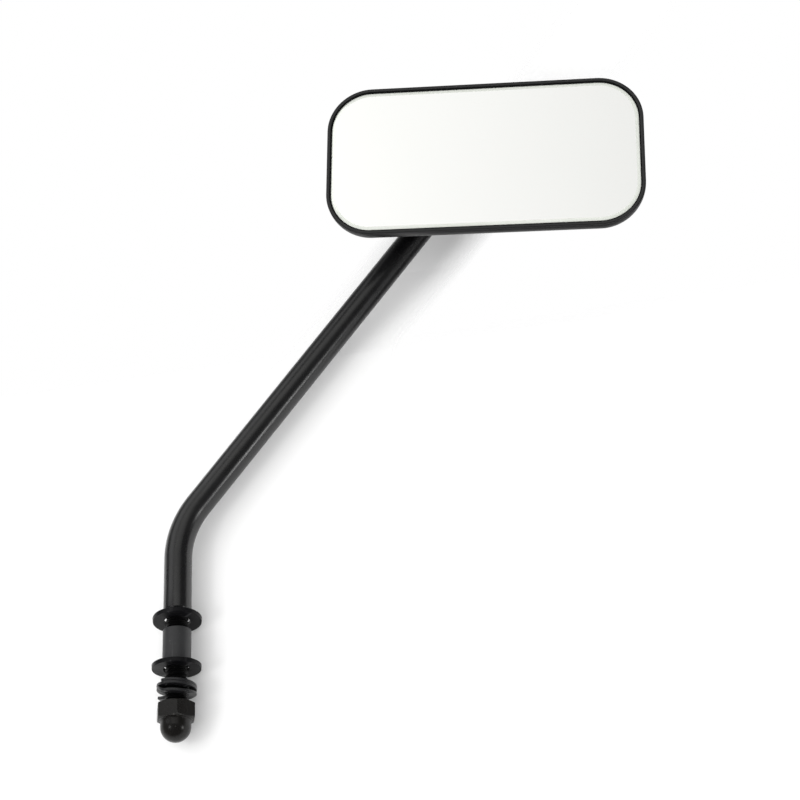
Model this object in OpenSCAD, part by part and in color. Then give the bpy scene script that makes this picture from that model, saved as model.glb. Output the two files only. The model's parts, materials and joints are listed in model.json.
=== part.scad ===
// Left-hand motorcycle mirror: a bent rod stem with a threaded stud and its fixings,
// and a rectangular mirror head that swivels on a ball.
// The origin is the middle of the spacer sleeve on the stud's axis. +Z runs up the stud,
// +X is the way the stem leans, and the glass faces -Y.

/* [Stem] */
// Diameter of the rod
rod_d = 10; // [8:0.5:12]
// Height of the first bend's corner above the rod's lower end
stem_rise = 32.5; // [26:0.5:60]
// Angle of the first bend
stem_lean = 40; // [20:1:60]
// Length of the slanted run, from corner to corner
run_len = 155; // [100:1:240]
// Length of the last leg, from the second corner to the eye
leg_len = 26.9; // [25:0.1:45]
// Direction of the last leg, seen from the front of the head, above level
leg_angle = 26.3; // [10:0.1:50]
// Radius of the first bend, at the rod's centre line
bend_r = 32; // [20:1:45]
// Radius of the second bend, at the rod's centre line
end_bend_r = 18; // [14:1:24]
// Diameter of the flattened eye at the rod's top end
eye_d = 16; // [14:0.5:22]
// Thickness of the eye
eye_t = 7; // [5:0.5:9]
// Length over which the rod flattens into the eye
eye_taper = 14; // [10:0.5:18]

/* [Threaded stud] */
// Diameter of the stud over the crests of its thread
stud_d = 7.94; // [6:0.01:8.5]
// Depth of the thread, from crest to root
thread_depth = 0.67; // [0.4:0.01:0.8]
// Length of the stud below the rod's lower end
stud_len = 41.6; // [41:0.1:44]
// Chamfer on the end of the rod and on the end of the stud
end_chamfer = 0.7; // [0.3:0.1:1]

/* [Washers and sleeve] */
// Outer diameter of the flat washers
washer_d = 17.5; // [15:0.1:22]
// Hole in the flat washers
washer_hole_d = 9.4; // [9.2:0.1:10.5]
// Thickness of the flat washers
washer_t = 1.6; // [1:0.1:2]
// Slant of the upper washer as it hangs on the stud
upper_washer_slant = 5; // [0:0.5:6]
// Outer diameter of the spacer sleeve
sleeve_d = 10.1; // [9.5:0.1:14]
// Length of the spacer sleeve
sleeve_len = 12.7; // [10:0.1:14]
// Gap between the rod's lower end and the upper washer
rod_gap = 1.9; // [1.2:0.1:4]
// Gap between the upper washer and the sleeve
sleeve_gap = 3.5; // [1:0.1:5]
// Gap between the sleeve and the lower washer
washer_gap = 0.15; // [0.1:0.05:2]
// How far the stud reaches into the nut
nut_engage = 7.3; // [6.8:0.1:7.8]
// How high the lock washer lies in the room between nut and lower washer
coil_share = 0.276; // [0.2:0.004:0.3]

/* [Lock washer] */
// Outer diameter of the coiled lock washer
coil_d = 14; // [13:0.1:16]
// Hole through the coiled lock washer
coil_hole_d = 8.3; // [8.2:0.1:9.5]
// Thickness of its wire, along the stud
coil_t = 1; // [0.9:0.05:1.2]
// Number of turns
coil_turns = 2.85; // [2.4:0.05:3]
// Slant of the lock washer as it hangs on the stud, low on the right
coil_slant = 3.4; // [0:0.2:5]
// How far its lowest turn is sprung away from the others at the front
coil_spring = 1.7; // [0.5:0.05:1.8]

/* [Dome nut] */
// Width of the nut across its flats
nut_af = 12.7; // [12:0.1:14]
// Height of the nut's hexagon
nut_hex_h = 6.1; // [5:0.1:8]
// Diameter of the nut's dome
nut_dome_d = 10.7; // [10:0.1:12]
// Straight part of the dome, below the hexagon
nut_neck = 2.2; // [1:0.1:4]

/* [Mirror head] */
// Width of the head
head_w = 119.1; // [100:0.1:160]
// Height of the head
head_h = 60.1; // [52:0.1:90]
// Corner radius of the head
head_corner_r = 17; // [14:0.5:24]
// Depth of the housing, from its rim to its back
housing_depth = 16.2; // [15.5:0.1:17]
// Straight side of the housing, behind its rim
side_h = 1.2; // [0.8:0.1:2]
// How far the rounded side runs in to the flat back
side_run = 18; // [12:0.5:22]
// Wall of the housing
wall = 2.2; // [1.6:0.1:2.4]
// Width of the housing's rim, seen from the front
rim_w = 1.3; // [1.1:0.05:2]
// Turn of the head about the stud's direction, away from facing -Y
head_yaw = 4.5; // [-15:0.5:15]
// Tilt of the head, facing down
head_tilt = 10.7; // [-5:0.1:20]
// Roll of the head in its own plane
head_roll = -4.5; // [-15:0.5:15]

/* [Glass] */
// Thickness of the mirror glass
glass_t = 3; // [2:0.1:3.5]
// Width of the ground bevel round the glass
bevel_w = 1.3; // [0.6:0.1:2.5]
// Depth of the bevel at the glass edge
bevel_h = 0.35; // [0.15:0.05:0.6]
// How far the glass lies behind the housing's rim
glass_recess = 0.5; // [0.2:0.1:1]
// Width of the rubber lip that shows between glass and rim
lip_w = 0.45; // [0.3:0.05:0.8]
// Thickness of the foam pad behind the glass
pad_t = 1.4; // [0.8:0.1:1.5]
// How far the pad's edge lies inside the rubber's
pad_margin = 4; // [2:0.5:8]
// Thickness of the rubber flange behind the glass
flange_t = 0.5; // [0.3:0.1:1]
// Width of the rubber flange behind the glass
flange_w = 1.5; // [1:0.1:3]
// How far the rubber lip stands over the glass
lip_rise = 0.15; // [0:0.05:0.4]

/* [Ball joint] */
// Diameter of the ball
ball_d = 10; // [9:0.5:10.5]
// Diameter of the ball's neck
neck_d = 5.5; // [4.5:0.5:5.5]
// Distance from the ball's centre to the eye's middle plane
ball_reach = 15.4; // [15:0.1:22]
// Thickness of the nylon liner behind the ball
liner_t = 0.95; // [0.7:0.05:1.1]
// Wall of the housing's socket
socket_wall = 2.15; // [1.6:0.05:2.3]
// Half angle of the opening that the neck swings in
mouth_angle = 47; // [45:1:49]
// Clearance between the ball and what it turns in
ball_clear = 0.05; // [0.03:0.01:0.08]
// Diameter of the ball stud's shank
shank_d = 6; // [5:0.5:6]
// Width across the flats of the ball stud's collar and of its nut
collar_af = 10; // [9.5:0.5:11]
// Thickness of the collar
collar_t = 2; // [1.5:0.1:2.5]
// Height of the ball stud's nut
stud_nut_h = 5; // [4:0.1:6]
// Thickness of the split washer under that nut
split_washer_t = 1.5; // [1:0.1:2]
// Thread that stands out past that nut
shank_tail = 1.6; // [0.5:0.1:3]
// Height of the friction cup's flange over the ball's centre
cup_z = 1.4; // [1.3:0.05:1.5]
// Depth behind the ball's centre from which the neck's opening widens
mouth_start = 2; // [1.9:0.05:2.1]

/* [Spring pack] */
// Diameter of the friction cup's flange
cup_flange_d = 18; // [17.5:0.1:19]
// Thickness of the friction cup's flange
cup_flange_t = 1.2; // [0.8:0.1:1.5]
// Wall of the friction cup over the ball
cup_wall = 1.3; // [1:0.1:1.5]
// Wire of the friction spring
spring_wire_d = 1.2; // [0.9:0.1:1.4]
// Turns of the friction spring
spring_turns = 3.6; // [3:0.1:4]
// Room for the spring, from the cup's flange to the retainer plate
spring_h = 5.3; // [5:0.1:5.6]
// Width and height of the retainer plate
plate_w = 48; // [40:1:60]
plate_h = 32; // [24:1:34]
// Thickness of the retainer plate
plate_t = 1.6; // [1.4:0.1:1.8]
// Distance from the plate's edge to its screws
screw_inset = 5; // [4.5:0.1:6]
// Thread diameter of the retainer screws
screw_d = 2.9; // [2.5:0.1:3.2]
// Head diameter of the retainer screws
screw_head_d = 5.5; // [5:0.1:5.8]
// Length of the retainer screws below the plate
screw_len = 5; // [4:0.1:6]
// Diameter of the screw bosses in the housing
boss_d = 6; // [5.5:0.1:8]

/* [Hidden] */
$fn = 64;

// Clearances
fit_gap = 0.05;       // between pieces that touch
slide_gap = 0.18;     // round the stud in the sleeve
thread_gap = 0.1;     // radial, between the stud's root and the nut's bore
seat_gap = 0.1;       // under the friction cup
screw_gap = 0.15;     // round the retainer screws in their plate
drill_past = 0.6;     // depth of the bosses' holes past the screws
past = 1;             // how far a cut runs past the face it opens
lap = 0.2;            // how far two lengths of the rod run into each other
bend_swell = 0.03;    // what the rod gains in diameter where it is bent

// Small edges
broken_edge = 0.2;    // on the washers and the sleeve
eye_edge = 0.6;       // round the eye
rim_round = 0.5;      // round the housing's rim
hex_face = 0.96;      // a hexagon's turned face, as a share of its width
cup_edge = 1.5;       // on the friction cup's crown
slice = 0.1;          // thickness of the slices that shape the housing
hair = 0.02;          // what a countersink is cut past its mouth

// Stations along the stud
sleeve_top = sleeve_len / 2;
upper_washer_z = sleeve_top + sleeve_gap;
rod_end_z = upper_washer_z + washer_t + rod_gap;
bend_z = rod_end_z + stem_rise;
lower_washer_z = -sleeve_top - washer_gap - washer_t;
nut_z = rod_end_z - stud_len + nut_engage;
coil_z = nut_z + coil_share * (lower_washer_z - nut_z);
nut_dome_z = nut_z - nut_hex_h - nut_neck;
stud_root_d = stud_d - 2 * thread_depth;
nut_bore_z = rod_end_z - stud_len - thread_gap;

// The washers hang on the stud's thread, off its axis, on the side away from the front
hang_angle = 18.5;
upper_play = (washer_hole_d - stud_d) / 2 - washer_t * sin(upper_washer_slant);
lower_play = 0.45;
coil_aside = 0.15;    // how far the lock washer hangs to the right
coil_start = 252;     // from the front to the lower end of the lock washer
coil_low_side = 80;   // from the front to the side on which the lock washer hangs lowest
coil_play = 0.05;     // between its closed turns
coil_tip_drop = 1.35; // how far its lower end is bent down
coil_tip_run = 130;   // how far round that bend runs
coil_open = [124, 120];   // where its lowest turn starts to be sprung away, and how far round that runs
coil_shut = [289, 40];    // where it starts to close again, and how far round that runs
corner_turn = 3;      // how far the nut's front corner is turned from the front

// Sections of the head, along its own axis, with the ball's centre at 0
ball_r = ball_d / 2;
liner_in_r = ball_r + ball_clear;
liner_out_r = liner_in_r + liner_t;
seat_r = liner_out_r + ball_clear;
dome_r = seat_r + socket_wall;
spring_z = cup_z + cup_flange_t;
plate_z = spring_z + spring_h;
pad_z = plate_z + plate_t + fit_gap;
glass_z = pad_z + pad_t + fit_gap;
glass_front_z = glass_z + glass_t;
rim_z = glass_front_z + glass_recess;
back_z = rim_z - housing_depth;
floor_z = back_z + wall;
ledge_z = glass_z - flange_t - 2 * fit_gap;
cup_top_z = liner_in_r + cup_wall;
hat_r = ball_r + cup_wall;
spring_r = (hat_r + cup_flange_d / 2) / 2;
spring_flat = 0.8;    // turns at each end of the spring that lie flat
collar_z = eye_t / 2 - ball_reach;
split_z = -ball_reach - eye_t / 2 - split_washer_t;
stud_nut_z = split_z - stud_nut_h;
shank_end_z = stud_nut_z - shank_tail;
screw_x = plate_w / 2 - screw_inset;
screw_y = plate_h / 2 - screw_inset;
screw_cone_h = (screw_head_d - screw_d) / 2;
recess_w = 0.6;
recess_h = 0.7;

// Glass and rim outlines, as steps in from the head's outline
pocket_in = rim_w;
glass_in = rim_w + lip_w;
ledge_in = glass_in + flange_w;
flange_in = ledge_in + 0.2;

// Vectors
function unit(v) = v / norm(v);
function turn_x(v, a) = [v.x, v.y * cos(a) - v.z * sin(a), v.y * sin(a) + v.z * cos(a)];
function turn_z(v, a) = [v.x * cos(a) - v.y * sin(a), v.x * sin(a) + v.y * cos(a), v.z];
function from_head(v) = turn_z(turn_x(turn_z(v, head_roll), 90 + head_tilt), head_yaw);
function columns(x, y, z, at) = [
    [x.x, y.x, z.x, at.x],
    [x.y, y.y, z.y, at.y],
    [x.z, y.z, z.z, at.z],
    [0, 0, 0, 1]
];
function across(v) = abs(v.y) < 0.9 ? unit(cross([0, 1, 0], v)) : unit(cross([1, 0, 0], v));

// The rod's centre line: lower end, two corners and the eye
rod_end = [0, 0, rod_end_z];
corner_1 = [0, 0, bend_z];
corner_2 = corner_1 + run_len * [sin(stem_lean), 0, cos(stem_lean)];
eye_dir = from_head([cos(leg_angle), sin(leg_angle), 0]);
eye_at = corner_2 + leg_len * eye_dir;
ball_at = eye_at + from_head([0, 0, ball_reach]);
run_dir = unit(corner_2 - corner_1);
end_bend = acos(run_dir * eye_dir);

// Puts what is drawn in the head's own frame where the head is
module at_head() {
    translate(ball_at) rotate([90 + head_tilt, 0, head_yaw]) rotate([0, 0, head_roll]) children();
}

// A round bar of diameter d from p to q
module bar(p, q, d) {
    w = unit(q - p);
    u = across(w);
    multmatrix(columns(u, cross(w, u), w, p)) cylinder(d = d, h = norm(q - p));
}

// The bend of a bar of diameter d that comes in along a, leaves along b and would meet at corner
module elbow(corner, a, b, r, d) {
    angle = acos(a * b);
    start = corner - a * r * tan(angle / 2);
    inward = unit(b - a * (a * b));
    x = -inward;
    multmatrix(columns(x, a, cross(x, a), start + r * inward))
        rotate_extrude(angle = angle) translate([r, 0]) circle(d = d);
}

// A rectangle with round corners, drawn with true arcs
module round_rect(w, h, r) {
    square([w - 2 * r, h], center = true);
    square([w, h - 2 * r], center = true);
    for (sx = [-1, 1], sy = [-1, 1]) translate([sx * (w / 2 - r), sy * (h / 2 - r)]) circle(r = r);
}

// The head's outline, stepped in all round
module head_outline(step_in) {
    round_rect(head_w - 2 * step_in, head_h - 2 * step_in, max(head_corner_r - step_in, 0.5));
}

// A ring of flat washer with its edges slightly broken
module flat_washer() {
    rotate_extrude() polygon([
        [washer_hole_d / 2, 0], [washer_d / 2 - broken_edge, 0], [washer_d / 2, broken_edge],
        [washer_d / 2, washer_t - broken_edge], [washer_d / 2 - broken_edge, washer_t], [washer_hole_d / 2, washer_t]
    ]);
}

// A hexagon nut blank whose corners are turned off at both ends, standing on z = 0
module hex_blank(af, h, top_only = false) {
    corner_r = af / 2 / cos(30);
    face_r = af / 2 * hex_face;
    outer_r = corner_r + lap;
    drop = (outer_r - face_r) * tan(30);
    low = top_only ? 0 : drop;
    intersection() {
        cylinder(r = corner_r, h = h, $fn = 6);
        union() {
            translate([0, 0, low]) cylinder(r = outer_r, h = h - low - drop);
            translate([0, 0, h - drop]) cylinder(r1 = outer_r, r2 = face_r, h = drop);
            if (!top_only) cylinder(r1 = face_r, r2 = outer_r, h = drop);
        }
    }
}

// A coil of bar or wire. section is its outline as [radius, height] points, and angles and
// heights say where each of its rings lies
module coil(section, angles, heights) {
    n = len(section);
    m = len(angles);
    points = [for (i = [0:m - 1], p = section)
        [p.x * cos(angles[i]), p.x * sin(angles[i]), p.y + heights[i]]];
    sides = [for (i = [0:m - 2], k = [0:n - 1])
        [i * n + k, (i + 1) * n + k, (i + 1) * n + (k + 1) % n, i * n + (k + 1) % n]];
    first = [for (k = [0:n - 1]) k];
    last = [for (k = [n - 1:-1:0]) (m - 1) * n + k];
    polyhedron(points, concat(sides, [first, last]), convexity = 6);
}

module stem() {
    color([0.16, 0.16, 0.17]) difference() {
        union() {
            bend_len = bend_r * tan(stem_lean / 2);
            end_len = end_bend_r * tan(end_bend / 2);
            translate([0, 0, rod_end_z]) cylinder(d1 = rod_d - 2 * end_chamfer, d2 = rod_d, h = end_chamfer);
            bar(rod_end + [0, 0, end_chamfer], corner_1 + [0, 0, lap - bend_len], rod_d);
            elbow(corner_1, [0, 0, 1], run_dir, bend_r, rod_d + bend_swell);
            bar(corner_1 + (bend_len - lap) * run_dir, corner_2 + (lap - end_len) * run_dir, rod_d);
            elbow(corner_2, run_dir, eye_dir, end_bend_r, rod_d + bend_swell);
            bar(corner_2 + (end_len - lap) * eye_dir, eye_at + (lap / 2 - eye_taper) * eye_dir, rod_d);
            eye_paddle();
            translate([0, 0, rod_end_z - stud_len + end_chamfer])
                cylinder(d = stud_root_d, h = stud_len - end_chamfer + past);
            translate([0, 0, rod_end_z - stud_len])
                cylinder(d1 = stud_root_d - 2 * end_chamfer, d2 = stud_root_d, h = end_chamfer);
        }
        at_head() translate([0, 0, -ball_reach]) {
            translate([0, 0, -eye_t]) cylinder(d = shank_d + 2 * fit_gap, h = 2 * eye_t);
            translate([0, 0, eye_t / 2]) cylinder(d = eye_d + eye_edge, h = rod_d);
            translate([0, 0, -eye_t / 2 - rod_d]) cylinder(d = eye_d + eye_edge, h = rod_d);
        }
    }
}

// The rod's top end, pressed into an eye. The stem's spot faces make its two sides flat
module eye_paddle() {
    hull() {
        bar(eye_at - eye_taper * eye_dir, eye_at + (lap - eye_taper) * eye_dir, rod_d + lap / 2, $fn = 32);
        at_head() translate([0, 0, -ball_reach]) for (side = [0, 1]) mirror([0, 0, side])
            translate([0, 0, (eye_t - eye_edge) / 2])
                cylinder(d1 = eye_d, d2 = eye_d - 2 * eye_edge, h = eye_edge, $fn = 32);
    }
}

module upper_washer() {
    color([0.22, 0.22, 0.23]) rotate([0, 0, hang_angle])
        translate([0, upper_play, upper_washer_z]) rotate([-upper_washer_slant, 0, 0]) flat_washer();
}

module spacer_sleeve() {
    bore_r = stud_d / 2 + slide_gap;
    outer_r = sleeve_d / 2;
    color([0.3, 0.31, 0.32]) rotate_extrude() polygon([
        [bore_r, -sleeve_top], [outer_r - broken_edge, -sleeve_top], [outer_r, broken_edge - sleeve_top],
        [outer_r, sleeve_top - broken_edge], [outer_r - broken_edge, sleeve_top], [bore_r, sleeve_top]
    ]);
}

module lower_washer() {
    color([0.22, 0.22, 0.23]) rotate([0, 0, hang_angle]) translate([0, lower_play, lower_washer_z]) flat_washer();
}

// A smooth step from 0 to 1 as x goes from 0 to 1
function ease(x) = pow(sin(90 * max(0, min(1, x))), 2);

// Height of the lock washer's wire, a degrees along it from the lower end
function coil_rise(a) =
    (coil_t + coil_play) * a / 360
    - coil_d / 2 * tan(coil_slant) * cos(coil_start - coil_low_side - a)
    - coil_tip_drop * ease(1 - a / coil_tip_run)
    - coil_spring * ease((a - coil_open[0]) / coil_open[1]) * ease(1 - (a - coil_shut[0]) / coil_shut[1]);

// Coiled lock washer of flat bar, wound against the thread. Two turns lie closed, the lowest is sprung open
module lock_washer() {
    steps = ceil(coil_turns * 44);
    edge = broken_edge;
    low_r = coil_hole_d / 2;
    high_r = coil_d / 2;
    section = [
        [low_r, edge], [low_r + edge, 0], [high_r - edge, 0], [high_r, edge],
        [high_r, coil_t - edge], [high_r - edge, coil_t], [low_r + edge, coil_t], [low_r, coil_t - edge]
    ];
    along = [for (i = [0:steps]) 360 * coil_turns * i / steps];
    angles = [for (a = along) coil_start - 90 - a];
    heights = [for (a = along) coil_rise(a)];
    color([0.2, 0.2, 0.21]) rotate([0, 0, hang_angle]) translate([coil_aside, 0, coil_z])
        coil(section, angles, heights);
}

module acorn_nut() {
    front = hang_angle - 90;
    color([0.17, 0.165, 0.16]) difference() {
        union() {
            translate([0, 0, nut_z - nut_hex_h]) rotate([0, 0, front + corner_turn]) hex_blank(nut_af, nut_hex_h);
            translate([0, 0, nut_dome_z]) cylinder(d = nut_dome_d, h = nut_neck + past);
            translate([0, 0, nut_dome_z]) sphere(d = nut_dome_d);
        }
        translate([0, 0, nut_bore_z]) cylinder(d = stud_root_d + 2 * thread_gap, h = nut_z - nut_bore_z + past);
        translate([0, 0, nut_z - thread_depth])
            cylinder(d1 = stud_root_d + 2 * thread_gap, d2 = stud_d + 2 * thread_gap, h = thread_depth + hair);
    }
}

module ball_stud() {
    color([0.62, 0.62, 0.6]) at_head() {
        sphere(r = ball_r);
        translate([0, 0, collar_z]) cylinder(d = neck_d, h = -collar_z);
        translate([0, 0, collar_z]) rotate([0, 0, leg_angle]) hex_blank(collar_af, collar_t, true);
        translate([0, 0, shank_end_z + end_chamfer]) cylinder(d = shank_d, h = collar_z - shank_end_z - end_chamfer);
        translate([0, 0, shank_end_z]) cylinder(d1 = shank_d - 2 * end_chamfer, d2 = shank_d, h = end_chamfer);
    }
}

module split_washer() {
    color([0.5, 0.5, 0.5]) at_head() translate([0, 0, split_z]) difference() {
        cylinder(d = collar_af * 1.12, h = split_washer_t);
        translate([0, 0, -past]) cylinder(d = shank_d + 4 * fit_gap, h = split_washer_t + 2 * past);
        rotate([0, 0, -60]) translate([collar_af / 2, 0, split_washer_t / 2]) rotate([40, 0, 0])
            cube([collar_af, split_washer_t * 0.7, split_washer_t * 4], center = true);
    }
}

module stud_nut() {
    color([0.55, 0.55, 0.54]) at_head() translate([0, 0, stud_nut_z]) difference() {
        rotate([0, 0, leg_angle + 10]) hex_blank(collar_af, stud_nut_h);
        translate([0, 0, -past]) cylinder(d = shank_d + 2 * fit_gap, h = stud_nut_h + 2 * past);
    }
}

// The thin nylon shell behind the ball
module ball_liner() {
    color([0.85, 0.84, 0.8]) at_head() difference() {
        sphere(r = liner_out_r);
        sphere(r = liner_in_r);
        translate([0, 0, -0.3]) cylinder(r = liner_out_r + past, h = liner_out_r + past);
        mouth(liner_out_r + past);
    }
}

// The cone that the neck swings in, cut as far as radius reach
module mouth(reach) {
    translate([0, 0, -reach])
        cylinder(r1 = reach * tan(mouth_angle), r2 = mouth_start * tan(mouth_angle), h = reach - mouth_start);
}

module friction_cup() {
    color([0.45, 0.45, 0.44]) at_head() difference() {
        union() {
            translate([0, 0, cup_z]) cylinder(d = cup_flange_d, h = cup_flange_t);
            translate([0, 0, cup_z]) cylinder(r = hat_r, h = cup_top_z - cup_z - cup_edge);
            translate([0, 0, cup_top_z - cup_edge]) cylinder(r1 = hat_r, r2 = hat_r - cup_edge, h = cup_edge);
        }
        sphere(r = liner_in_r);
    }
}

// Round wire coil, its end turns lying flat
module cup_spring() {
    steps = ceil(spring_turns * 24);
    wire_r = spring_wire_d / 2;
    section = [for (k = [0:7]) [spring_r + wire_r * cos(45 * k), wire_r * sin(45 * k)]];
    angles = [for (i = [0:steps]) 360 * spring_turns * i / steps];
    rise = spring_h - spring_wire_d - 2 * fit_gap;
    flat = spring_flat / spring_turns;
    heights = [for (i = [0:steps]) rise * max(0, min(1, (i / steps - flat) / (1 - 2 * flat)))];
    color([0.7, 0.7, 0.68]) at_head() translate([0, 0, spring_z + wire_r + fit_gap])
        mirror([0, 1, 0]) coil(section, angles, heights);
}

// Four places for the retainer screws
module at_screws() {
    for (sx = [-1, 1], sy = [-1, 1]) translate([sx * screw_x, sy * screw_y, 0]) children();
}

module retainer_plate() {
    color([0.6, 0.6, 0.58]) at_head() translate([0, 0, plate_z]) difference() {
        linear_extrude(plate_t) round_rect(plate_w, plate_h, screw_inset);
        at_screws() translate([0, 0, -past]) cylinder(d = screw_d + 2 * screw_gap, h = plate_t + 2 * past);
        at_screws() translate([0, 0, plate_t - screw_cone_h])
            cylinder(d1 = screw_d, d2 = screw_head_d + 2 * hair, h = screw_cone_h + hair);
    }
}

module retainer_screws() {
    color([0.7, 0.7, 0.7]) at_head() at_screws() translate([0, 0, plate_z]) difference() {
        union() {
            translate([0, 0, -screw_len]) cylinder(d = screw_d, h = screw_len + plate_t - recess_h);
            translate([0, 0, plate_t - screw_cone_h])
                cylinder(d1 = screw_d - 2 * fit_gap, d2 = screw_head_d - 2 * fit_gap, h = screw_cone_h);
        }
        for (a = [0, 90]) rotate([0, 0, a]) translate([0, 0, plate_t])
            cube([screw_d, recess_w, 2 * recess_h], center = true);
    }
}

// A flat slice of the head's outline
module head_slice(z, step_in) {
    translate([0, 0, z]) linear_extrude(slice) head_outline(step_in);
}

// A bowl of slices below z_high that curve in by run as they go down by depth
module bowl(top, depth, step_in, run, z_high) {
    for (a = [0:11.25:90]) {
        z = top - depth * sin(a);
        if (z < z_high) head_slice(z, step_in + run * (1 - cos(a)));
    }
}

// The outside of the housing: a rounded rim, a straight side, then a curve in to the flat back
module outer_dish() {
    hull() {
        for (a = [0:30:90])
            head_slice(rim_z - slice - rim_round * (1 - cos(a)), rim_round * (1 - sin(a)));
        bowl(rim_z - side_h, housing_depth - side_h, 0, side_run, rim_z);
    }
}

// The hollow of the housing behind the ledge that carries the glass
module inner_dish() {
    hull() bowl(rim_z - side_h, housing_depth - side_h - wall, ledge_in, side_run - ledge_in, ledge_z);
    translate([0, 0, ledge_z - wall]) linear_extrude(wall + past) head_outline(flange_in);
}

module housing() {
    color([0.12, 0.12, 0.13]) at_head() difference() {
        union() {
            difference() {
                outer_dish();
                inner_dish();
                translate([0, 0, ledge_z]) linear_extrude(rim_z) head_outline(pocket_in);
            }
            intersection() {
                sphere(r = dome_r);
                translate([0, 0, -dome_r]) cylinder(r = dome_r, h = dome_r + cup_z - seat_gap);
            }
            at_screws() translate([0, 0, floor_z - wall / 2]) cylinder(d = boss_d, h = plate_z - floor_z + wall / 2);
        }
        sphere(r = seat_r);
        cylinder(r = seat_r, h = cup_z + past);
        mouth(dome_r + past);
        at_screws() translate([0, 0, plate_z - screw_len - drill_past])
            cylinder(d = screw_d + 2 * fit_gap, h = screw_len + drill_past + past);
    }
}

// Rubber channel round the glass, with a flange behind it
module glass_gasket() {
    color([0.05, 0.05, 0.05]) at_head() difference() {
        translate([0, 0, ledge_z + fit_gap]) linear_extrude(glass_front_z + lip_rise - ledge_z - fit_gap)
            head_outline(pocket_in + fit_gap);
        translate([0, 0, glass_z - fit_gap]) linear_extrude(glass_t + past) head_outline(glass_in);
        translate([0, 0, ledge_z - past]) linear_extrude(glass_t) head_outline(flange_in);
    }
}

module mirror_glass() {
    edge_in = glass_in + fit_gap;
    color([0.86, 0.88, 0.88]) at_head() {
        translate([0, 0, glass_z]) linear_extrude(glass_t - bevel_h) head_outline(edge_in);
        hull() {
            translate([0, 0, glass_front_z - bevel_h - slice]) linear_extrude(slice) head_outline(edge_in);
            translate([0, 0, glass_front_z - hair]) linear_extrude(hair) head_outline(edge_in + bevel_w);
        }
    }
}

module foam_pad() {
    color([0.3, 0.3, 0.3]) at_head() translate([0, 0, pad_z]) linear_extrude(pad_t) head_outline(ledge_in + pad_margin);
}

stem();
upper_washer();
spacer_sleeve();
lower_washer();
lock_washer();
acorn_nut();
ball_stud();
split_washer();
stud_nut();
ball_liner();
friction_cup();
cup_spring();
retainer_plate();
retainer_screws();
housing();
glass_gasket();
mirror_glass();
foam_pad();
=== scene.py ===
import bpy
import json
import math
from mathutils import Matrix, Vector


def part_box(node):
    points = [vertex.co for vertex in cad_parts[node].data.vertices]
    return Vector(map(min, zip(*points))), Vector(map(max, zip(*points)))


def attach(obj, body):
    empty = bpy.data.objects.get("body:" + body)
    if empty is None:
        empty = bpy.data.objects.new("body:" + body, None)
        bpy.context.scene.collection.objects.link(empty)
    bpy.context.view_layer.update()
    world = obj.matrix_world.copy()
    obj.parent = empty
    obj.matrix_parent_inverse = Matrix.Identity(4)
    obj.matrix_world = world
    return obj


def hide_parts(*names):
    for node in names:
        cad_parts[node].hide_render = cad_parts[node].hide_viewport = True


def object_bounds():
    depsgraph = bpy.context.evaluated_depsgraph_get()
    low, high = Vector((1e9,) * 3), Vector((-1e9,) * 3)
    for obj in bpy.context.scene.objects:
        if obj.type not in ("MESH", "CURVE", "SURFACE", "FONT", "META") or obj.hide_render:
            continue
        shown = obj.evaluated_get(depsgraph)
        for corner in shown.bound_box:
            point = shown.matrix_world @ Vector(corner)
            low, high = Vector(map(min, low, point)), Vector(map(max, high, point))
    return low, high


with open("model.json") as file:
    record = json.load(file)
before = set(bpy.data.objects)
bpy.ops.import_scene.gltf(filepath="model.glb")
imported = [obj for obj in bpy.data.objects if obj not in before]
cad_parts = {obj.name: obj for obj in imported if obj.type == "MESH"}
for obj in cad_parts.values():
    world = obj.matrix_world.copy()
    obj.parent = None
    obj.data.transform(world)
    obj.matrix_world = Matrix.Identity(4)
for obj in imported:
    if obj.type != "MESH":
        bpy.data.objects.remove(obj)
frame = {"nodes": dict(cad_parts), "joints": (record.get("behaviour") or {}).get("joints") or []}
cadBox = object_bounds()
joints = {joint["name"]: joint for joint in frame["joints"]}
mm = 0.001

# The head's own frame: x to the right, y up, z out of the glass, with the ball's centre at 0
headRight = Vector(joints["head_tilt"]["axis"]).normalized()
headOut = Vector(joints["head_roll"]["axis"])
headOut = (headOut - headRight * headOut.dot(headRight)).normalized()
headUp = headOut.cross(headRight)
ballCentre = Vector(joints["head_tilt"]["pos_m"])
headMatrix = Matrix((headRight, headUp, headOut)).transposed().to_4x4()
headMatrix.translation = ballCentre
frontAngle = math.radians(-71.5)  # the side of the stud that faces the photograph's camera


# Mesh helpers

def addPiece(name, points, faces, materials, body, replaced=(), matrix=None, faceSlots=None):
    # points are in millimetres in the given matrix's frame
    place = matrix or Matrix.Identity(4)
    mesh = bpy.data.meshes.new(name)
    mesh.from_pydata([place @ (Vector(point) * mm) for point in points], [], faces)
    mesh.validate()
    for material in materials:
        mesh.materials.append(material)
    if faceSlots:
        for polygon, index in zip(mesh.polygons, faceSlots):
            polygon.material_index = index
    mesh.shade_smooth()
    piece = bpy.data.objects.new(name, mesh)
    bpy.context.scene.collection.objects.link(piece)
    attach(piece, body)
    if replaced:
        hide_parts(*replaced)
    return piece


def breakEdges(piece, width, angle=28, segments=3):
    # a small round on every sharp edge, with even shading on the flats beside it
    bevel = piece.modifiers.new("brokenEdges", "BEVEL")
    bevel.width = width * mm
    bevel.segments = segments
    bevel.limit_method = "ANGLE"
    bevel.angle_limit = math.radians(angle)
    bevel.harden_normals = True
    return piece


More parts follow.
